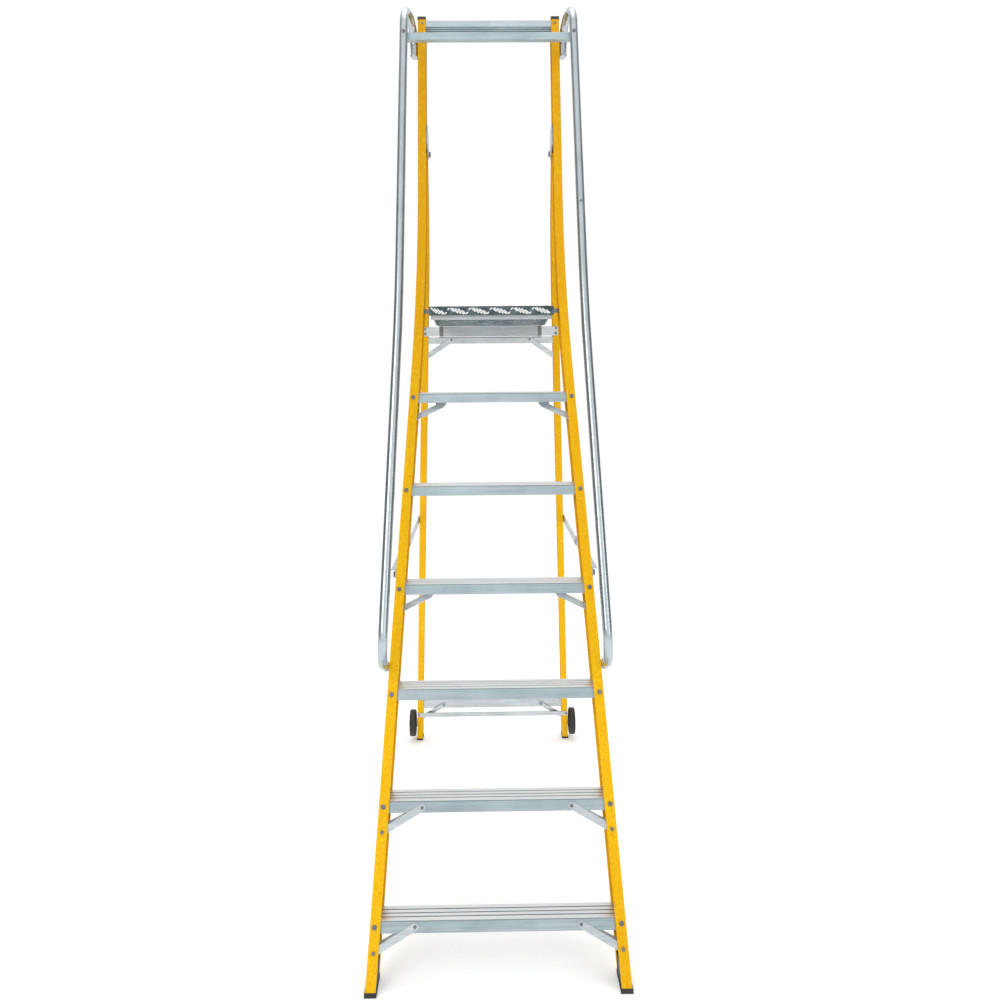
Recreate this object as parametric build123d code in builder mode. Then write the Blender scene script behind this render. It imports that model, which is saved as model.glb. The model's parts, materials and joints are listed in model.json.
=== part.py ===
from build123d import *
import os
from math import sin, cos, radians, degrees, atan2, sqrt

os.makedirs("parts", exist_ok=True)

# ---- driving dimensions (mm). X right, Y towards the rear frame, Z up ----
FRONT_Y = -832.0                 # front face of the climbing stiles at floor level
STILE_ANGLE, LEG_ANGLE = 70.0, 70.74
STILE_DEPTH, STILE_FLANGE, STILE_WALL = 75.0, 25.0, 4.0
STILE_LENGTH = 2752.0
LEG_Y = FRONT_Y + 1613.0         # front face of the rear legs at floor level
LEG_DEPTH, LEG_FLANGE, LEG_WALL = 50.0, 22.0, 3.5
TREAD_RISE, TREAD_FIRST, TREADS = 250.0, 148.0, 6
PLATFORM_TOP = 1648.0
TUBE_R = 12.7
PIVOT = (FRONT_Y + 891.0, 2142.0)          # fold axis, Y and Z
DECK_PIN = (FRONT_Y + 640.0, 1634.0)
STAY_F = (FRONT_Y + 371.0, 917.0)
STAY_R = (FRONT_Y + 1322.6, 906.0)
STAY_FRONT_LEN = 478.0
WHEEL_R, WHEEL_Z = 50.0, 67.0

S, C = sin(radians(STILE_ANGLE)), cos(radians(STILE_ANGLE))
SB, CB = sin(radians(LEG_ANGLE)), cos(radians(LEG_ANGLE))
WHEEL_Y = LEG_Y + (LEG_DEPTH / 2 - CB * WHEEL_Z) / SB

# local x = X, local y = up the member, local z = out of its front face
STILE_PLANE = Plane(origin=(0, FRONT_Y, 0), x_dir=(1, 0, 0), z_dir=(0, -S, C))
LEG_PLANE = Plane(origin=(0, LEG_Y, 0), x_dir=(1, 0, 0), z_dir=(0, -SB, -CB))


def up_stile(z, v=0.0):
    return (z + C * v) / S


def up_leg(z, w=0.0):
    return (z - CB * w) / SB


def stile_half(u):
    a, b, k = 1540.0, 2110.0, 0.05525
    if u <= a:
        return 316.0 - k * u
    t = min(u, b) - a
    x = 316.0 - k * a - k * t + 0.5 * (k + 0.0135) / (b - a) * t * t
    return x + max(0.0, u - b) * 0.0135


def leg_half(s):
    a, b, k = 1801.0, 2175.0, 0.03767
    if s <= a:
        return 293.9 - k * s
    t = min(s, b) - a
    return 293.9 - k * a - k * t + 0.5 * k / (b - a) * t * t


def band(half, u0, u1, d_in, d_out, a, b):
    """Outline between two offsets from a member's curved outer edge."""
    m = (a + b) / 2
    x = lambda u, d: half(u) - d
    with BuildLine() as edge_line:
        Line((x(u0, d_out), u0), (x(a, d_out), a))
        ThreePointArc((x(a, d_out), a), (x(m, d_out), m), (x(b, d_out), b))
        Line((x(b, d_out), b), (x(u1, d_out), u1))
        Line((x(u1, d_out), u1), (x(u1, d_in), u1))
        Line((x(u1, d_in), u1), (x(b, d_in), b))
        ThreePointArc((x(b, d_in), b), (x(m, d_in), m), (x(a, d_in), a))
        Line((x(a, d_in), a), (x(u0, d_in), u0))
        Line((x(u0, d_in), u0), (x(u0, d_out), u0))
    make_face(edge_line.edges())


def prism_x(x0, x1, pts, mode=Mode.ADD):
    with BuildSketch(Plane.YZ.offset(x0)) as profile:
        with BuildLine():
            Polyline(*pts, close=True)
        make_face()
    extrude(profile.sketch, amount=x1 - x0, mode=mode)


def block(x0, x1, y0, y1, z0, z1, mode=Mode.ADD):
    with Locations(((x0 + x1) / 2, (y0 + y1) / 2, (z0 + z1) / 2)):
        Box(x1 - x0, y1 - y0, z1 - z0, mode=mode)


def rod_x(x0, x1, yz, r, mode=Mode.ADD):
    with Locations(Location(((x0 + x1) / 2, yz[0], yz[1]), (0, 90, 0))):
        Cylinder(r, x1 - x0, mode=mode)


def slab(plane, x0, x1, u0, u1, d0, d1, mode=Mode.ADD):
    """Rectangular bar in a member's plane, from depth d0 to d1 behind its face."""
    with BuildSketch(plane.offset(-d0)) as profile:
        with Locations(((x0 + x1) / 2, (u0 + u1) / 2)):
            Rectangle(x1 - x0, u1 - u0)
    extrude(profile.sketch, amount=-(d1 - d0), mode=mode)


def pegs(plane, pts, r, d0, d1, mode=Mode.ADD):
    with BuildSketch(plane.offset(-d0)) as profile:
        with Locations(*pts):
            Circle(r)
    extrude(profile.sketch, amount=-(d1 - d0), mode=mode)


def strap(plane, p, q, width, d0, d1, mode=Mode.ADD):
    dx, dy = q[0] - p[0], q[1] - p[1]
    with BuildSketch(plane.offset(-d0)) as profile:
        with Locations(Location(((p[0] + q[0]) / 2, (p[1] + q[1]) / 2, 0), (0, 0, degrees(atan2(dy, dx))))):
            SlotCenterToCenter(sqrt(dx * dx + dy * dy), width)
    extrude(profile.sketch, amount=-(d1 - d0), mode=mode)


def save(piece, name):
    piece.part.label = name
    export_step(piece.part, f"parts/{name}.step")


def both(pts):
    return list(pts) + [(-x, y) for x, y in pts]


TREAD_TOPS = [TREAD_FIRST + TREAD_RISE * k for k in range(TREADS)]
tread_screw_pts = [(stile_half(up_stile(z - 10)) - 11, up_stile(z - 10)) for z in TREAD_TOPS]
brace_screw_pts = [(298.0, up_stile(86)), (284.0, up_stile(334))]
tray_screw_pts = [(213.0, up_stile(2572))]

# ---- fibreglass climbing stiles: channels, web outside, flanges inwards ----
with BuildPart() as front_stile_right:
    with BuildSketch(STILE_PLANE):
        band(stile_half, -40, STILE_LENGTH, STILE_FLANGE, 0, 1540, 2110)
    extrude(amount=-STILE_DEPTH)
    with BuildSketch(STILE_PLANE.offset(-STILE_WALL)):
        band(stile_half, -60, STILE_LENGTH + 10, STILE_FLANGE + 5, STILE_WALL, 1540, 2110)
    extrude(amount=-(STILE_DEPTH - 2 * STILE_WALL), mode=Mode.SUBTRACT)
    block(200, 400, FRONT_Y - 100, FRONT_Y + 150, -120, 9, mode=Mode.SUBTRACT)
    pegs(STILE_PLANE, tread_screw_pts + brace_screw_pts + tray_screw_pts, 2.6, -1, 6, mode=Mode.SUBTRACT)
    rod_x(200, 300, STAY_F, 5.0, mode=Mode.SUBTRACT)
    rod_x(200, 300, DECK_PIN, 5.0, mode=Mode.SUBTRACT)
save(front_stile_right, "front_stile_right")
with BuildPart() as front_stile_left:
    mirror(front_stile_right.part, about=Plane.YZ)
save(front_stile_left, "front_stile_left")

# ---- extruded aluminium treads: ribbed top, hollow, ends inside the channels ----
T = C / S
tread_v0, tread_v1 = 7.5, 70.6
for k, z in enumerate(TREAD_TOPS):
    half = stile_half(up_stile(z, 71)) - STILE_WALL - 0.6
    y0 = FRONT_Y + T * z + tread_v0 / S
    y1 = FRONT_Y + T * z + tread_v1 / S
    f = 28.0
    with BuildPart() as tread:
        prism_x(-half, half, [(y0 - 0.8, z - 2.2), (y1 - 0.8, z - 2.2), (y1 - f * C, z - f * S), (y0 - f * C, z - f * S)])
        prism_x(-half - 1, half + 1, [(y0 + 1.9, z - 4.6), (y1 - 3.4, z - 4.6), (y1 - 3.4 - (f - 5) * C, z - f * S + 2.2), (y0 + 1.9 - (f - 5) * C, z - f * S + 2.2)], mode=Mode.SUBTRACT)
        block(-half, half, y0 + 22 - f * C / 2, y0 + 24 - f * C / 2, z - f * S + 1, z - 4)
        pitch = (y1 - y0) / 4
        for i in range(4):
            ya, yb = y0 + pitch * i + (0 if i == 0 else 1.8), y0 + pitch * (i + 1) - (0 if i == 3 else 1.8)
            prism_x(-half, half, [(ya - (0.87 if i == 0 else 0), z - 2.4), (yb - (0.87 if i == 3 else 0), z - 2.4), (yb - (0 if i == 3 else 0.7), z), (ya + (0 if i == 0 else 0.7), z)])
    save(tread, f"tread_{k + 1}")

with BuildPart() as tread_screws:
    pegs(STILE_PLANE, both(tread_screw_pts + brace_screw_pts[:0]), 2.6, 0, tread_v0)
    pegs(STILE_PLANE, both(tread_screw_pts), 6.0, -1.6, 0)
    pegs(STILE_PLANE, both(tread_screw_pts), 4.2, -3.0, -1.6)
    pegs(STILE_PLANE, both(tread_screw_pts), 2.0, -3.1, -1.9, mode=Mode.SUBTRACT)
save(tread_screws, "tread_screws")

front_brace_ends = [((200.0, up_stile(137)), (298.0, up_stile(86))), ((186.0, up_stile(385)), (284.0, up_stile(334)))]
with BuildPart() as tread_front_braces:
    for p, q in front_brace_ends:
        for sx in (1, -1):
            strap(STILE_PLANE, (sx * p[0], p[1]), (sx * q[0], q[1]), 17.0, 4.2, 7.2)
    pegs(STILE_PLANE, both([e for pq in front_brace_ends for e in pq]), 2.6, 4, 7.4, mode=Mode.SUBTRACT)
save(tread_front_braces, "tread_front_braces")

with BuildPart() as brace_screws:
    for p, q in front_brace_ends:
        pegs(STILE_PLANE, both([q]), 2.6, 0, 7.2)
        pegs(STILE_PLANE, both([q]), 4.5, -2.4, 0)
        pegs(STILE_PLANE, both([p]), 2.6, 4.2, 7.4)
        pegs(STILE_PLANE, both([p]), 4.0, 2.0, 4.2)
save(brace_screws, "brace_screws")

with BuildPart() as tread_rear_braces:
    for k in (0, 1, 3, 5):
        z = TREAD_TOPS[k]
        ub = up_stile(z, 44) - 28.6
        xo = stile_half(ub - 40) - STILE_WALL - 0.6
        for sx in (1, -1):
            strap(STILE_PLANE, (sx * (xo - 88), ub - 9.0), (sx * (xo - 12), ub - 46), 16.0, 42, 45)
            slab(STILE_PLANE, min(sx * (xo - 100), sx * (xo - 70)), max(sx * (xo - 100), sx * (xo - 70)), ub - 9, ub - 0.4, 42, 45)
save(tread_rear_braces, "tread_rear_braces")

# ---- plastic stile caps and feet ----
with BuildPart() as stile_cap_right:
    h = stile_half(STILE_LENGTH)
    slab(STILE_PLANE, h - 26, h + 1, STILE_LENGTH, STILE_LENGTH + 12, -1, 76)
    slab(STILE_PLANE, h - 24, h - 4.4, STILE_LENGTH - 1.5, STILE_LENGTH, 4.4, 70.6)
    fillet(stile_cap_right.edges().filter_by(Axis.X).group_by(Axis.Z)[-1], 3)
save(stile_cap_right, "stile_cap_right")
with BuildPart() as stile_cap_left:
    mirror(stile_cap_right.part, about=Plane.YZ)
save(stile_cap_left, "stile_cap_left")

with BuildPart() as front_foot_right:
    F0 = FRONT_Y
    prism_x(288.0, 317.6, [(F0 - 2.5, 0), (F0 + 82.3, 0), (F0 + 82.3 + 9 * T, 9), (F0 - 2.5 + 9 * T, 9)])
    prism_x(289.5, 307.2, [(F0 + 4.8 + 9 * T, 9), (F0 + 74.9 + 9 * T, 9), (F0 + 74.9 + 48 * T, 48), (F0 + 4.8 + 48 * T, 48)])
    for i in range(5):
        block(287, 319, F0 + 6 + i * 16, F0 + 10 + i * 16, -1, 2, mode=Mode.SUBTRACT)
save(front_foot_right, "front_foot_right")
with BuildPart() as front_foot_left:
    mirror(front_foot_right.part, about=Plane.YZ)
save(front_foot_left, "front_foot_left")

# ---- top tray between the stile tops ----
with BuildPart() as top_tray:
    u0, u1 = up_stile(2562), up_stile(2584)
    h = stile_half(u0) - STILE_WALL - 0.8
    slab(STILE_PLANE, -h, h, u0, u1, 4.3, 70.6)
    slab(STILE_PLANE, -h + 3, h - 3, u0 + 3, u1 + 5, 7.3, 67.6, mode=Mode.SUBTRACT)
    for i in range(6):
        slab(STILE_PLANE, -h, h, u0 - 2, u0 + 0.5, 8 + i * 10.5, 12 + i * 10.5)
save(top_tray, "top_tray")
with BuildPart() as tray_screws:
    pegs(STILE_PLANE, both(tray_screw_pts), 2.6, 0, 4.3)
    pegs(STILE_PLANE, both(tray_screw_pts), 4.2, -1.6, 0)
save(tray_screws, "tray_screws")

# ---- handrails: bent aluminium tube, hairpin at the top, return to the web below ----
RAIL_V = 106.0
u_low = up_stile(695, 30)
x_low = stile_half(u_low)
u_top = 2665.0
A = (263.0, u_top, RAIL_V)
B = (240.0, u_top, -35.0)
rad = sqrt((A[0] - B[0]) ** 2 + (A[2] - B[2]) ** 2) / 2
x_tab = stile_half(2630.0)
with BuildPart() as handrail_right:
    with BuildLine(STILE_PLANE) as rail_path:
        FilletPolyline((x_low + 14.4, u_low, -19), (284.5, u_low, RAIL_V), (260.2, up_stile(1640, -RAIL_V), RAIL_V), A, radius=(74, 11000))
        ThreePointArc(A, ((A[0] + B[0]) / 2, u_top + rad, (A[2] + B[2]) / 2), B)
    with BuildSketch(Plane(origin=rail_path.line @ 0, z_dir=rail_path.line % 0)):
        Circle(TUBE_R)
        Circle(TUBE_R - 2.0, mode=Mode.SUBTRACT)
    sweep()
    # flattened ends lying on the stile webs
    with BuildSketch(Plane(origin=(x_low + 11.6, FRONT_Y + C * u_low + S * 12, S * u_low - C * 12), x_dir=(1, 0, 0), z_dir=(0, S, -C))):
        RectangleRounded(20.0, 27.0, 8.0)
    extrude(amount=32)
    with BuildSketch(Plane(origin=(x_tab + 11.6, FRONT_Y + C * 2630 + S * 35, S * 2630 - C * 35), x_dir=(1, 0, 0), z_dir=(0, C, S))):
        RectangleRounded(21.0, 27.0, 8.0)
    extrude(amount=42)
    fillet(handrail_right.faces().sort_by(Axis.Z).filter_by(GeomType.PLANE).filter_by(lambda f: abs(f.area - 512) < 20)[0].edges(), 3)
    rod_x(x_low - 5, x_low + 40, (FRONT_Y + C * u_low + S * 28, S * u_low - C * 28), 4.0, mode=Mode.SUBTRACT)
save(handrail_right, "handrail_right")
with BuildPart() as handrail_left:
    mirror(handrail_right.part, about=Plane.YZ)
save(handrail_left, "handrail_left")

with BuildPart() as handrail_bolts:
    yz = (FRONT_Y + C * u_low + S * 28, S * u_low - C * 28)
    for sx in (1, -1):
        a, b = sorted((sx * (x_low + 21.8), sx * (x_low + 25.5)))
        rod_x(a, b, yz, 7.0)
        a, b = sorted((sx * (x_low + 1.3), sx * (x_low + 21.8)))
        rod_x(a, b, yz, 3.9)
        for uu in (2639.0, 2654.0):
            yz2 = (FRONT_Y + C * uu + S * 35, S * uu - C * 35)
            a, b = sorted((sx * (x_tab + 22.3), sx * (x_tab + 25)))
            rod_x(a, b, yz2, 5.0)
    pegs(STILE_PLANE, [(261.2, up_stile(1950, -118))], 3.2, -121.0, -118.8)
save(handrail_bolts, "handrail_bolts")

u_bar = up_stile(2490, -85)
with BuildPart() as handrail_cross_bar:
    slab(STILE_PLANE, -264, 264, u_bar - 13.3, u_bar + 13.3, -93.1, -78)
    slab(STILE_PLANE, -265, 265, u_bar - 11.3, u_bar + 11.3, -91.1, -80, mode=Mode.SUBTRACT)
save(handrail_cross_bar, "handrail_cross_bar")
with BuildPart() as cross_bar_plugs:
    for sx in (1, -1):
        a, b = sorted((sx * 264, sx * 267))
        slab(STILE_PLANE, a, b, u_bar - 13.3, u_bar + 13.3, -93.1, -78)
        a, b = sorted((sx * 250, sx * 264))
        slab(STILE_PLANE, a, b, u_bar - 11.1, u_bar + 11.1, -90.9, -80.2)
save(cross_bar_plugs, "cross_bar_plugs")
with BuildPart() as cross_bar_bolts:
    pegs(STILE_PLANE, both([(262.6, u_bar)]), 5.5, -122.0, -118.95)
    pegs(STILE_PLANE, both([(262.6, u_bar)]), 1.2, -122.5, -120.8, mode=Mode.SUBTRACT)
save(cross_bar_bolts, "cross_bar_bolts")

# ---- hinge between stiles and rear legs ----
u_p = C * (PIVOT[0] - FRONT_Y) + S * PIVOT[1]
v_p = S * (PIVOT[0] - FRONT_Y) - C * PIVOT[1]
h_p = stile_half(u_p)
x_edge = h_p - STILE_FLANGE
with BuildPart() as hinge_plate_right:
    with BuildSketch(Plane.YZ.offset(x_edge - 4.6)):
        with BuildLine():
            pt = lambda u, v: (FRONT_Y + C * u + S * v, S * u - C * v)
            Polyline(pt(u_p - 16, 14), pt(u_p - 16, v_p + 2), pt(u_p - 4, v_p + 15), pt(u_p + 8, v_p + 15), pt(u_p + 52, 66), pt(u_p + 52, 14), close=True)
        make_face()
    extrude(amount=4.0)
    rod_x(150, 230, PIVOT, 5.0, mode=Mode.SUBTRACT)
save(hinge_plate_right, "hinge_plate_right")
with BuildPart() as hinge_plate_left:
    mirror(hinge_plate_right.part, about=Plane.YZ)
save(hinge_plate_left, "hinge_plate_left")
with BuildPart() as hinge_blocks:
    for sx in (1, -1):
        a, b = sorted((sx * (x_edge - 0.5), sx * (h_p - STILE_WALL - 0.8)))
        slab(STILE_PLANE, a, b, u_p - 14, u_p + 50, 4.5, 70.5)
save(hinge_blocks, "hinge_blocks")
leg_x = leg_half(2260.3)
with BuildPart() as hinge_bolts:
    for sx in (1, -1):
        a, b = sorted((sx * (x_edge - 10), sx * (leg_x + 0.5)))
        rod_x(a, b, PIVOT, 5.0)
        a, b = sorted((sx * (x_edge - 10), sx * (x_edge - 4.6)))
        rod_x(a, b, PIVOT, 9.0)
save(hinge_bolts, "hinge_bolts")
with BuildPart() as hinge_spacers:
    for sx in (1, -1):
        a, b = sorted((sx * (x_edge - 0.5), sx * (leg_x - LEG_WALL - 0.4)))
        rod_x(a, b, PIVOT, 8.0)
    rod_x(-300, 300, PIVOT, 5.0, mode=Mode.SUBTRACT)
save(hinge_spacers, "hinge_spacers")

# ---- platform: chequer plate deck on pins between the stiles ----
DY0, DY1 = FRONT_Y + 625.0, FRONT_Y + 1076.0
ZT = PLATFORM_TOP
DX0, DX1 = 183.5, 174.0
with BuildPart() as platform_deck:
    with BuildSketch(Plane.XY.offset(ZT - 3)):
        with BuildLine():
            Polyline((-DX0, DY0), (DX0, DY0), (DX1, DY1), (-DX1, DY1), close=True)
        make_face()
    extrude(amount=3)
    block(-DX0, DX0, DY0, DY0 + 3, ZT - 26, ZT)
    block(-DX1, DX1, DY1 - 3, DY1, ZT - 48.5, ZT)
    # side skirts, deeper towards the rear
    for sx in (1, -1):
        with BuildSketch(Plane.XY.offset(ZT - 49)):
            with BuildLine():
                Polyline((sx * DX0, DY0), (sx * DX1, DY1), (sx * (DX1 - 3), DY1), (sx * (DX0 - 3), DY0), close=True)
            make_face()
        extrude(amount=48)
    prism_x(-250, 250, [(DY0 - 5, ZT - 26), (DY0 + 120, ZT - 26), (DY1 - 120, ZT - 48.5), (DY1 + 9, ZT - 48.5), (DY1 + 9, ZT - 60), (DY0 - 5, ZT - 60)], mode=Mode.SUBTRACT)
    # raised five-bar pattern
    with BuildSketch(Plane.XY.offset(ZT - 0.4)):
        spots = {17.0: [], 12.0: []}
        for i in range(-5, 6):
            for j in range(14):
                cx, cy = i * 31.0, DY0 + 18 + j * 31.0
                if cy > DY1 - 16:
                    continue
                turn = 45 if (i + j) % 2 else -45
                for m in (-2, -1, 0, 1, 2):
                    px = cx + m * 6.4 * cos(radians(turn + 90))
                    py = cy + m * 6.4 * sin(radians(turn + 90))
                    spots[17.0 if abs(m) < 2 else 12.0].append(Location((px, py, 0), (0, 0, turn)))
        for length, places in spots.items():
            with Locations(*places):
                SlotCenterToCenter(length, 3.0)
    extrude(amount=1.4)
    with BuildSketch(Plane(origin=(0, DY0 + 0.4, ZT), x_dir=(1, 0, 0), z_dir=(0, -1, 0))):
        for size, offsets, lean in ((15.0, (-17,), 138), (24.0, (-9, 0, 9), 138), (15.0, (17,), 138), (9.0, (26, 34), 42)):
            with Locations(*[Location((g * 62 + 26 + o, -13.5 + (6 if o == 34 else -6 if o == 26 else -o * 0.18), 0), (0, 0, lean)) for g in range(-3, 3) for o in offsets if abs(g * 62 + 26 + o) < 176]):
                SlotCenterToCenter(size - 3.6, 3.6)
    extrude(amount=1.2)
    rod_x(-250, 250, DECK_PIN, 5.05, mode=Mode.SUBTRACT)
save(platform_deck, "platform_deck")
with BuildPart() as platform_front_stiffener:
    block(-179, 179, DY0 + 26, DY0 + 29, ZT - 38, ZT - 3.2)
    block(-179, 179, DY0 + 29, DY0 + 44, ZT - 38, ZT - 35)
    block(-179, 179, DY0 + 29, DY0 + 44, ZT - 6.2, ZT - 3.2)
save(platform_front_stiffener, "platform_front_stiffener")
with BuildPart() as platform_side_rails:
    for sx in (1, -1):
        a, b = sorted((sx * 140, sx * 143))
        block(a, b, DY0 + 46, DY1 - 4, ZT - 33, ZT - 3.2)
        a, b = sorted((sx * 143, sx * 160))
        block(a, b, DY0 + 46, DY1 - 4, ZT - 6.2, ZT - 3.2)
save(platform_side_rails, "platform_side_rails")
ph = stile_half(C * (DECK_PIN[0] - FRONT_Y) + S * DECK_PIN[1])
with BuildPart() as platform_pivot_pins:
    for sx in (1, -1):
        a, b = sorted((sx * 174, sx * (ph + 2.0)))
        rod_x(a, b, DECK_PIN, 5.0)
        a, b = sorted((sx * 174, sx * 177.5))
        rod_x(a, b, DECK_PIN, 7.5)
save(platform_pivot_pins, "platform_pivot_pins")
with BuildPart() as platform_spacers:
    for sx in (1, -1):
        a, b = sorted((sx * 184.2, sx * (ph - STILE_WALL - 0.5)))
        rod_x(a, b, DECK_PIN, 6.8)
    rod_x(-300, 300, DECK_PIN, 5.0, mode=Mode.SUBTRACT)
save(platform_spacers, "platform_spacers")

# ---- rear legs ----
with BuildPart() as rear_leg_right:
    with BuildSketch(LEG_PLANE):
        band(leg_half, -40, 2260.3, LEG_FLANGE, 0, 1801, 2175)
    extrude(amount=-LEG_DEPTH)
    rod_x(leg_x - LEG_FLANGE, leg_x, PIVOT, 25)
    with BuildSketch(LEG_PLANE.offset(-LEG_WALL)):
        band(leg_half, -60, 2300, LEG_FLANGE + 5, LEG_WALL, 1801, 2175)
    extrude(amount=-(LEG_DEPTH - 2 * LEG_WALL), mode=Mode.SUBTRACT)
    block(200, 400, LEG_Y - 150, LEG_Y + 150, -120, 6, mode=Mode.SUBTRACT)
    rod_x(150, 300, PIVOT, 5.05, mode=Mode.SUBTRACT)
    rod_x(200, 300, STAY_R, 5.0, mode=Mode.SUBTRACT)
    rod_x(200, 340, (WHEEL_Y, WHEEL_Z), 6.0, mode=Mode.SUBTRACT)
save(rear_leg_right, "rear_leg_right")
with BuildPart() as rear_leg_left:
    mirror(rear_leg_right.part, about=Plane.YZ)
save(rear_leg_left, "rear_leg_left")
TB = CB / SB
with BuildPart() as rear_foot_right:
    prism_x(271.0, 295.0, [(LEG_Y - 2, 0), (LEG_Y + 53.5, 0), (LEG_Y + 53.5 - 6 * TB, 6), (LEG_Y - 2 - 6 * TB, 6)])
    prism_x(273.5, 288.2, [(LEG_Y + 4.3 - 6 * TB, 6), (LEG_Y + 48.6 - 6 * TB, 6), (LEG_Y + 48.6 - 34 * TB, 34), (LEG_Y + 4.3 - 34 * TB, 34)])
save(rear_foot_right, "rear_foot_right")
with BuildPart() as rear_foot_left:
    mirror(rear_foot_right.part, about=Plane.YZ)
save(rear_foot_left, "rear_foot_left")

with BuildPart() as rear_upper_bar:
    h = leg_half(up_leg(1564)) - LEG_WALL - 0.6
    slab(LEG_PLANE, -h, h, up_leg(1541, 4), up_leg(1560, 4), 4, 14)
    slab(LEG_PLANE, -h - 1, h + 1, up_leg(1541, 4) + 2, up_leg(1560, 4) - 2, 6, 12, mode=Mode.SUBTRACT)
save(rear_upper_bar, "rear_upper_bar")
with BuildPart() as rear_upper_braces:
    for sx in (1, -1):
        strap(LEG_PLANE, (sx * 131, up_leg(1554)), (sx * 222, up_leg(1492)), 17, 0.6, 3.6)
    h = leg_half(up_leg(1510)) - LEG_FLANGE - 0.5
    for sx in (1, -1):
        a, b = sorted((sx * h, sx * 260))
        slab(LEG_PLANE, a, b, up_leg(1450), up_leg(1560), 0, 5, mode=Mode.SUBTRACT)
save(rear_upper_braces, "rear_upper_braces")
with BuildPart() as rear_lower_bar:
    h = leg_half(up_leg(169)) - LEG_WALL - 0.6
    slab(LEG_PLANE, -h, h, up_leg(152) - 17, up_leg(152) + 17, 8, 44)
    slab(LEG_PLANE, -h - 1, h + 1, up_leg(152) - 14.5, up_leg(152) + 14.5, 10.5, 41.5, mode=Mode.SUBTRACT)
save(rear_lower_bar, "rear_lower_bar")
with BuildPart() as rear_lower_braces:
    for sx in (1, -1):
        strap(LEG_PLANE, (sx * 187, up_leg(150)), (sx * 268, up_leg(99)), 16, 4.2, 7.4)
save(rear_lower_braces, "rear_lower_braces")
with BuildPart() as rear_flat_brace:
    slab(LEG_PLANE, -289, 289, up_leg(113) - 8.8, up_leg(113) + 8.8, -3, 0)
    fillet(rear_flat_brace.edges().filter_by(Axis.Y, tolerance=25).filter_by(lambda e: e.length < 4), 4)
save(rear_flat_brace, "rear_flat_brace")
RY = FRONT_Y + 1063.0
with BuildPart() as platform_support_rail:
    block(-158, 158, RY, RY + 30, 1565, 1598.7)
    block(-159, 159, RY + 2.5, RY + 27.5, 1567.5, 1596.2, mode=Mode.SUBTRACT)
    block(-158, 158, RY - 1.2, RY + 0.5, 1565, 1580)
save(platform_support_rail, "platform_support_rail")
with BuildPart() as support_rail_ends:
    for sx in (1, -1):
        a, b = sorted((sx * 158, sx * 171))
        block(a, b, RY, RY + 30, 1565, 1598.7)
save(support_rail_ends, "support_rail_ends")
u0b, u1b = up_leg(1567), up_leg(1599)
with BuildPart() as platform_support_bracket_right:
    slab(LEG_PLANE, 171.2, 226.5, u0b, u1b - 2, -3, 0)
    slab(LEG_PLANE, 171.2, 174.2, u0b + 4, u1b - 14, 0, 36)
    fillet(platform_support_bracket_right.edges().group_by(Axis.X)[-1].filter_by(lambda e: e.length < 4), 6)
save(platform_support_bracket_right, "platform_support_bracket_right")
with BuildPart() as platform_support_bracket_left:
    mirror(platform_support_bracket_right.part, about=Plane.YZ)
save(platform_support_bracket_left, "platform_support_bracket_left")
with BuildPart() as rear_rivets:
    pegs(LEG_PLANE, both([(219, u0b + 8), (219, u1b - 8), (284, up_leg(113))]), 4.2, -5, -3)
    pegs(LEG_PLANE, both([(131, up_leg(1554))]), 4.2, -1.4, 0.6)
    pegs(LEG_PLANE, both([(187, up_leg(150))]), 4.2, 2.2, 4.2)
save(rear_rivets, "rear_rivets")

# ---- wheels ----
with BuildPart() as wheel_axles:
    for sx in (1, -1):
        a, b = sorted((sx * 272, sx * 322.5))
        rod_x(a, b, (WHEEL_Y, WHEEL_Z), 6.0)
        a, b = sorted((sx * 272, sx * 280))
        rod_x(a, b, (WHEEL_Y, WHEEL_Z), 10.0)
        a, b = sorted((sx * 292.2, sx * 296.6))
        rod_x(a, b, (WHEEL_Y, WHEEL_Z), 13.0)
        a, b = sorted((sx * 321.6, sx * 324))
        rod_x(a, b, (WHEEL_Y, WHEEL_Z), 9.0)
save(wheel_axles, "wheel_axles")
for side, sx in (("right", 1), ("left", -1)):
    wheel_plane = Plane(origin=(sx * 309.0, WHEEL_Y, WHEEL_Z), x_dir=(0, 1, 0), z_dir=(1, 0, 0))
    prof = Plane(origin=(sx * 309.0, WHEEL_Y, WHEEL_Z), x_dir=(1, 0, 0), z_dir=(0, 1, 0))
    ax = Axis((0, WHEEL_Y, WHEEL_Z), (1, 0, 0))
    with BuildPart() as tyre:
        with BuildSketch(prof):
            with Locations((0, -(WHEEL_R + 35) / 2)):
                RectangleRounded(24, WHEEL_R - 35, 6.5)
        revolve(axis=ax)
    save(tyre, f"wheel_tyre_{side}")
    with BuildPart() as hub:
        with BuildSketch(prof):
            with Locations((0, -(11.5 + 6.05) / 2)):
                Rectangle(23, 11.5 - 6.05)
            with Locations((0, -22)):
                Rectangle(7, 24)
            with Locations((0, -32.5)):
                Rectangle(19, 5)
        revolve(axis=ax)
        with BuildSketch(wheel_plane.offset(-15)):
            with PolarLocations(22, 6):
                Circle(4.5)
        extrude(amount=30, mode=Mode.SUBTRACT)
    save(hub, f"wheel_hub_{side}")

# ---- folding stays: two links a side, knee folds upwards ----
dy, dz = STAY_R[0] - STAY_F[0], STAY_R[1] - STAY_F[1]
dist = sqrt(dy * dy + dz * dz)
ey, ez = dy / dist, dz / dist
KNEE = (STAY_F[0] + ey * STAY_FRONT_LEN, STAY_F[1] + ez * STAY_FRONT_LEN)


def link_pts(o, a, b, n0, n1):
    p = lambda t, n: (o[0] + ey * t - ez * n, o[1] + ez * t + ey * n)
    return [p(a, n0), p(b, n0), p(b, n1), p(a, n1)]


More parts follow.
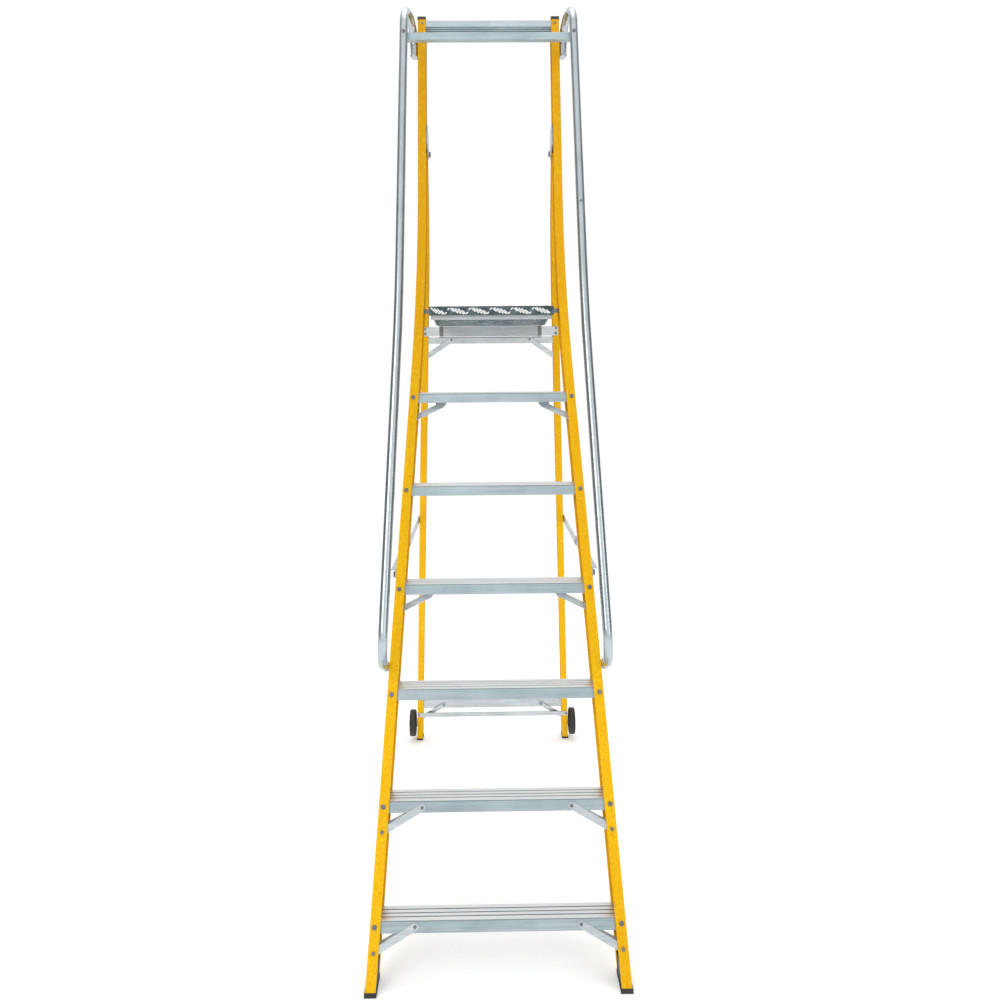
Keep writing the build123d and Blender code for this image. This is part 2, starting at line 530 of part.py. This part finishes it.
for side, sx in (("right", 1), ("left", -1)):
    def sp(x0, x1):
        return sorted((sx * x0, sx * x1))
    with BuildPart() as link_front:
        prism_x(*sp(263.2, 266.2), link_pts(STAY_F, -14, STAY_FRONT_LEN + 12, -9, 16))
        prism_x(*sp(266.2, 277.0), link_pts(STAY_F, -14, STAY_FRONT_LEN + 12, 13, 16))
        rod_x(*sp(240, 300), STAY_F, 5.05, mode=Mode.SUBTRACT)
        rod_x(*sp(266.0, 269.2), KNEE, 7.0)
    save(link_front, f"stay_front_link_{side}")
    with BuildPart() as link_rear:
        prism_x(*sp(259.7, 262.7), link_pts(KNEE, -12, dist - STAY_FRONT_LEN + 13, -9, 16))
        rod_x(*sp(240, 300), STAY_R, 5.05, mode=Mode.SUBTRACT)
        rod_x(*sp(257.2, 259.8), KNEE, 7.0)
    save(link_rear, f"stay_rear_link_{side}")

fh = stile_half(up_stile(STAY_F[1], 35))
lh = leg_half(up_leg(STAY_R[1], 25))
with BuildPart() as stay_front_pivots:
    for sx in (1, -1):
        for x0, x1, r in ((fh - 12, 269.5, 5.0), (266.6, 271.5, 8.0), (fh + 0.4, 262.8, 9.0), (fh - 12, fh - STILE_WALL - 0.5, 8.0)):
            rod_x(*sorted((sx * x0, sx * x1)), STAY_F, r)
save(stay_front_pivots, "stay_front_pivots")
with BuildPart() as stay_rear_pivots:
    for sx in (1, -1):
        for x0, x1, r in ((lh - 11, 265.0, 5.0), (263.1, 266.5, 8.0), (lh + 0.5, 259.3, 8.0), (lh - 11, lh - LEG_WALL - 0.5, 8.0)):
            rod_x(*sorted((sx * x0, sx * x1)), STAY_R, r)
save(stay_rear_pivots, "stay_rear_pivots")
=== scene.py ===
import bpy, json
from math import radians, sin, cos
from mathutils import Matrix, Vector


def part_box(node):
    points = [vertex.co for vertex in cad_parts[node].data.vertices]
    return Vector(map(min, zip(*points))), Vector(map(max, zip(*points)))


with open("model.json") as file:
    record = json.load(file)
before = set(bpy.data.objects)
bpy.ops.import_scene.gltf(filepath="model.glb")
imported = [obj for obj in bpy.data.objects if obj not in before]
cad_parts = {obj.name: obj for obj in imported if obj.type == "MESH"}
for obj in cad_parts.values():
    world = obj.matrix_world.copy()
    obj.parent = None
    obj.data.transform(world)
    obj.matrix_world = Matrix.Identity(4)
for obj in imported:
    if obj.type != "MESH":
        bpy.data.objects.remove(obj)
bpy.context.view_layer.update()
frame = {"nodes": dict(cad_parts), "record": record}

nodes = frame["nodes"]
slot_of = {s["node"]: s.get("material_slot") for s in frame["record"]["subparts"]}


# ---------------------------------------------------------------- materials
class Mat:
    def __init__(self, name):
        self.m = bpy.data.materials.new(name)
        self.m.use_nodes = True
        self.t = self.m.node_tree
        self.b = self.t.nodes["Principled BSDF"]
        self.co = self.n("ShaderNodeTexCoord").outputs["Object"]

    def n(self, kind):
        return self.t.nodes.new(kind)

    def link(self, a, b):
        self.t.links.new(a, b)

    def map(self, scale, rot=(0, 0, 0)):
        m = self.n("ShaderNodeMapping")
        m.inputs["Scale"].default_value = scale
        m.inputs["Rotation"].default_value = rot
        self.link(self.co, m.inputs["Vector"])
        return m.outputs[0]

    def noise(self, scale, vec=None, detail=4.0, rough=0.55):
        x = self.n("ShaderNodeTexNoise")
        x.inputs["Scale"].default_value = scale
        x.inputs["Detail"].default_value = detail
        x.inputs["Roughness"].default_value = rough
        self.link(vec or self.co, x.inputs["Vector"])
        return x.outputs["Fac"]

    def ramp(self, fac, *stops):
        r = self.n("ShaderNodeValToRGB")
        e = r.color_ramp.elements
        while len(e) < len(stops):
            e.new(0.5)
        for k, (p, c) in enumerate(stops):
            e[k].position = p
            e[k].color = (*c, 1.0) if len(c) == 3 else (c[0], c[0], c[0], 1.0)
        self.link(fac, r.inputs[0])
        return r.outputs[0]

    def mix(self, fac, a, b, mode="MIX"):
        x = self.n("ShaderNodeMix")
        x.data_type = "RGBA"
        x.blend_type = mode
        if isinstance(fac, float):
            x.inputs[0].default_value = fac
        else:
            self.link(fac, x.inputs[0])
        for sock, v in ((x.inputs[6], a), (x.inputs[7], b)):
            if isinstance(v, tuple):
                sock.default_value = (*v, 1.0)
            else:
                self.link(v, sock)
        return x.outputs[2]

    def rough(self, fac, lo, hi):
        r = self.n("ShaderNodeMapRange")
        r.inputs[3].default_value, r.inputs[4].default_value = lo, hi
        self.link(fac, r.inputs[0])
        self.link(r.outputs[0], self.b.inputs["Roughness"])

    def bump(self, height, dist, strength=1.0, after=None):
        x = self.n("ShaderNodeBump")
        x.inputs["Distance"].default_value = dist
        x.inputs["Strength"].default_value = strength
        self.link(height, x.inputs["Height"])
        if after is not None:
            self.link(after, x.inputs["Normal"])
        self.link(x.outputs[0], self.b.inputs["Normal"])
        return x.outputs[0]

    def color(self, c):
        self.link(c, self.b.inputs["Base Color"])

    def split(self, which):
        s = self.n("ShaderNodeSeparateXYZ")
        self.link(self.co, s.inputs[0])
        return s.outputs[which]


def fibreglass():
    m = Mat("fibreglass")
    fibre = m.noise(1.0, m.map((420, 420, 26)), 5, 0.6)
    veil = m.noise(1.0, m.map((90, 90, 55)), 6, 0.62)
    blotch = m.noise(3.2, None, 3)
    z = m.split(2)
    mr = m.n("ShaderNodeMapRange")
    mr.inputs[1].default_value, mr.inputs[2].default_value = 0.9, 2.4
    m.link(z, mr.inputs[0])
    tone = m.mix(mr.outputs[0], (0.90, 0.52, 0.001), (0.70, 0.355, 0.0003))
    c = m.mix(m.ramp(fibre, (0.42, (0.0,)), (0.66, (0.8,))), tone, (0.66, 0.32, 0.001))
    c = m.mix(m.ramp(veil, (0.50, (0.0,)), (0.72, (0.55,))), c, (0.90, 0.58, 0.01))
    c = m.mix(m.ramp(blotch, (0.40, (0.0,)), (0.80, (0.45,))), c, (0.66, 0.29, 0.0))
    m.color(c)
    m.b.inputs["Coat Weight"].default_value = 0.05
    m.b.inputs["Coat Roughness"].default_value = 0.3
    m.b.inputs["Specular IOR Level"].default_value = 0.12
    m.rough(veil, 0.34, 0.58)
    n1 = m.bump(fibre, 0.0004, 0.5)
    m.bump(veil, 0.0006, 0.35, n1)
    return m.m


def metal(name, base, dark, streak, lo=0.26, hi=0.48, metallic=0.92, scuff=0.5, white=(0.86, 0.88, 0.9), bump=0.00022, after=None):
    m = Mat(name)
    grain = m.noise(1.0, m.map(streak), 6, 0.65)
    cloud = m.noise(9.0, None, 5, 0.6)
    marks = m.noise(34.0, None, 8, 0.7)
    c = m.mix(m.ramp(cloud, (0.36, (0.0,)), (0.70, (1.0,))), base, dark)
    c = m.mix(m.ramp(grain, (0.45, (0.0,)), (0.75, (0.5,))), c, white)
    c = m.mix(m.ramp(marks, (0.60, (0.0,)), (0.74, (scuff,))), c, white)
    m.color(c)
    m.b.inputs["Metallic"].default_value = metallic
    m.rough(m.mix(0.5, grain, marks), lo, hi)
    m.bump(grain, bump, 0.5)
    if after is not None:
        m.color(after(m, c))
    return m.m


def math(m, op, a, b=None):
    x = m.n("ShaderNodeMath")
    x.operation = op
    for k, v in enumerate((a, b)):
        if v is None:
            continue
        if isinstance(v, (int, float)):
            x.inputs[k].default_value = v
        else:
            m.link(v, x.inputs[k])
    return x.outputs[0]


TREAD_FIRST, TREAD_RISE = 0.148, 0.250
DECK_TOP, DECK_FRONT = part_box("platform_deck")[1][2] - 0.001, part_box("platform_deck")[0][1] + 0.0008


def ribs(m, c):
    """Painted highlight: brighter crests on the tread ribs; painted shade: darker colour in the grooves."""
    z = m.split(2)
    t = math(m, "FRACT", math(m, "DIVIDE", math(m, "SUBTRACT", z, TREAD_FIRST - 0.0006), TREAD_RISE))
    crest_highlight_mask = math(m, "LESS_THAN", t, 0.005)
    t2 = math(m, "FRACT", math(m, "DIVIDE", math(m, "SUBTRACT", z, TREAD_FIRST - 0.0030), TREAD_RISE))
    groove_shade_mask = math(m, "LESS_THAN", t2, 0.0090)
    # Painted shade: the rib grooves are coloured darker.
    c = m.mix(groove_shade_mask, c, (0.24, 0.28, 0.30))
    # Painted highlight: the rib crests (top faces) are coloured lighter.
    return m.mix(crest_highlight_mask, c, m.mix(m.ramp(m.noise(1.0, m.map((3, 60, 60)), 4), (0.3, (0.0,)), (0.7, (1.0,))), (0.80, 0.82, 0.83), (0.68, 0.71, 0.73)))


def lugs(m, c):
    """Raised bars painted light as a highlight; the plate between them painted darker as shade."""
    x = m.n("ShaderNodeSeparateXYZ")
    m.link(m.co, x.inputs[0])
    top = math(m, "GREATER_THAN", x.outputs[2], DECK_TOP + 0.0004)
    front = math(m, "LESS_THAN", x.outputs[1], DECK_FRONT - 0.0004)
    near = math(m, "LESS_THAN", x.outputs[1], DECK_FRONT + 0.0004)
    over = math(m, "GREATER_THAN", x.outputs[2], DECK_TOP - 0.0006)
    shade_between_bars_mask = math(m, "MAXIMUM", near, over)
    # Painted shade: dark colour on the plate surface between the raised bars.
    c = m.mix(shade_between_bars_mask, c, m.mix(m.ramp(m.noise(60.0, None, 5), (0.4, (0.0,)), (0.7, (1.0,))), (0.055, 0.085, 0.09), (0.16, 0.20, 0.21)))
    # Painted highlight: light colour on the tops and front faces of the raised bars.
    return m.mix(math(m, "MAXIMUM", top, front), c, (0.86, 0.88, 0.86))


def plastic(name, base, light, lo, hi, grain=700.0, height=0.00025):
    m = Mat(name)
    pebble = m.noise(grain, None, 3)
    dust = m.noise(16.0, None, 6, 0.65)
    m.color(m.mix(m.ramp(dust, (0.46, (0.0,)), (0.78, (0.7,))), base, light))
    m.rough(dust, lo, hi)
    m.bump(pebble, height, 0.6)
    return m.m


def tyre_mat():
    m = Mat("tyre_rubber")
    dust = m.noise(22.0, None, 6, 0.65)
    scuffs = m.noise(1.0, m.map((500, 60, 60)), 4)
    c = m.mix(m.ramp(dust, (0.45, (0.0,)), (0.8, (0.8,))), (0.017, 0.017, 0.016), (0.07, 0.066, 0.06))
    m.color(m.mix(m.ramp(scuffs, (0.55, (0.0,)), (0.8, (0.4,))), c, (0.10, 0.095, 0.085)))
    m.rough(dust, 0.5, 0.78)
    m.bump(scuffs, 0.0004, 0.6)
    return m.m


MATS = {
    "grp": fibreglass(),
    "tube": metal("tube_aluminium", (0.50, 0.56, 0.59), (0.42, 0.48, 0.51), (60, 60, 4), 0.20, 0.30, 0.96, 0.12, (0.62, 0.67, 0.70), 0.00003),
    "extrusion": metal("extruded_aluminium", (0.40, 0.48, 0.51), (0.30, 0.38, 0.41), (5, 260, 260), 0.30, 0.52, white=(0.62, 0.68, 0.70), after=ribs),
    "alu_bar": metal("bar_aluminium", (0.55, 0.60, 0.62), (0.42, 0.47, 0.50), (9, 200, 200), 0.30, 0.5),
    "chequer": metal("chequer_aluminium", (0.40, 0.46, 0.47), (0.20, 0.26, 0.28), (40, 40, 200), 0.14, 0.34, 0.97, 0.4, after=lugs),
    "fixings": metal("zinc_steel", (0.23, 0.235, 0.24), (0.11, 0.115, 0.12), (300, 300, 300), 0.20, 0.38, 1.0, 0.25, (0.5, 0.5, 0.48)),
    "black_plastic": plastic("black_plastic", (0.012, 0.012, 0.013), (0.05, 0.05, 0.05), 0.38, 0.62),
    "tyre": tyre_mat(),
}
for name, obj in nodes.items():
    mat = MATS[slot_of[name]]
    if not obj.material_slots:
        obj.data.materials.append(mat)
    for s in obj.material_slots:
        s.material = mat

# ---------------------------------------------------------------- stage
scene = bpy.context.scene
floor_mesh = bpy.data.meshes.new("floor")
floor_mesh.from_pydata([(-30, -12, -0.001), (30, -12, -0.001), (30, 40, -0.001), (-30, 40, -0.001)], [], [(0, 1, 2, 3)])
floor = bpy.data.objects.new("floor", floor_mesh)
scene.collection.objects.link(floor)
fm = Mat("floor_paint")
fm.color(fm.mix(fm.noise(1.5, None, 4), (0.92, 0.92, 0.92), (0.95, 0.95, 0.95)))
fm.b.inputs["Roughness"].default_value = 0.9
fm.b.inputs["Emission Color"].default_value = (1, 1, 1, 1)
fm.b.inputs["Emission Strength"].default_value = 0.22
floor_mesh.materials.append(fm.m)

world = bpy.data.worlds.new("studio")
scene.world = world
world.use_nodes = True
wt = world.node_tree
wb = wt.nodes["Background"]
wb.inputs[0].default_value = (1, 1, 1, 1)
# a white studio with dim wings left and right, which give bright metal its dark edges
wc, ws = wt.nodes.new("ShaderNodeTexCoord"), wt.nodes.new("ShaderNodeSeparateXYZ")
wa, wm = wt.nodes.new("ShaderNodeMath"), wt.nodes.new("ShaderNodeMapRange")
wa.operation = "ABSOLUTE"
wm.interpolation_type = "SMOOTHSTEP"
for k, v in ((1, 0.50), (2, 0.93), (3, 1.02), (4, 0.16)):
    wm.inputs[k].default_value = v
wt.links.new(wc.outputs["Generated"], ws.inputs[0])
wt.links.new(ws.outputs[0], wa.inputs[0])
wt.links.new(wa.outputs[0], wm.inputs[0])
wl, wx = wt.nodes.new("ShaderNodeLightPath"), wt.nodes.new("ShaderNodeMix")
wx.data_type = "FLOAT"
wx.inputs[3].default_value = 1.02
wt.links.new(wl.outputs["Is Camera Ray"], wx.inputs[0])
wt.links.new(wm.outputs[0], wx.inputs[2])
wt.links.new(wx.outputs[0], wb.inputs[1])


def area(name, loc, target, size, power):
    d = bpy.data.lights.new(name, "AREA")
    d.shape = "RECTANGLE"
    d.size, d.size_y = size
    d.energy = power
    o = bpy.data.objects.new(name, d)
    o.location = loc
    o.rotation_euler = (Vector(target) - Vector(loc)).to_track_quat("-Z", "Y").to_euler()
    scene.collection.objects.link(o)


area("key", (-2.6, -4.2, 3.8), (0, 0, 1.2), (2.0, 2.6), 48)
area("fill", (3.2, -3.4, 2.2), (0, 0, 1.2), (1.6, 2.6), 18)
area("top", (0.0, 0.4, 5.2), (0, 0, 0), (2.6, 2.6), 45)

# ---------------------------------------------------------------- camera
yaw, pitch, roll = radians(0.93), radians(0.75), radians(-0.44)
fwd = Vector((sin(yaw) * cos(pitch), cos(yaw) * cos(pitch), -sin(pitch)))
right = Vector((cos(yaw), -sin(yaw), 0))
up = right.cross(fwd)
r2 = right * cos(roll) + up * sin(roll)
u2 = -right * sin(roll) + up * cos(roll)
cam_data = bpy.data.cameras.new("camera")
cam = bpy.data.objects.new("camera", cam_data)
scene.collection.objects.link(cam)
rot = Matrix((r2, u2, -fwd)).transposed()
cam.matrix_world = Matrix.Translation((-0.0257, -2.434 - 0.832, 1.524)) @ rot.to_4x4()
cam_data.sensor_width = 36.0
cam_data.lens = 37.51
cam_data.shift_y = -0.138
cam_data.clip_end = 200
scene.camera = cam
scene.view_settings.view_transform = "Standard"
scene.view_settings.look = "None"
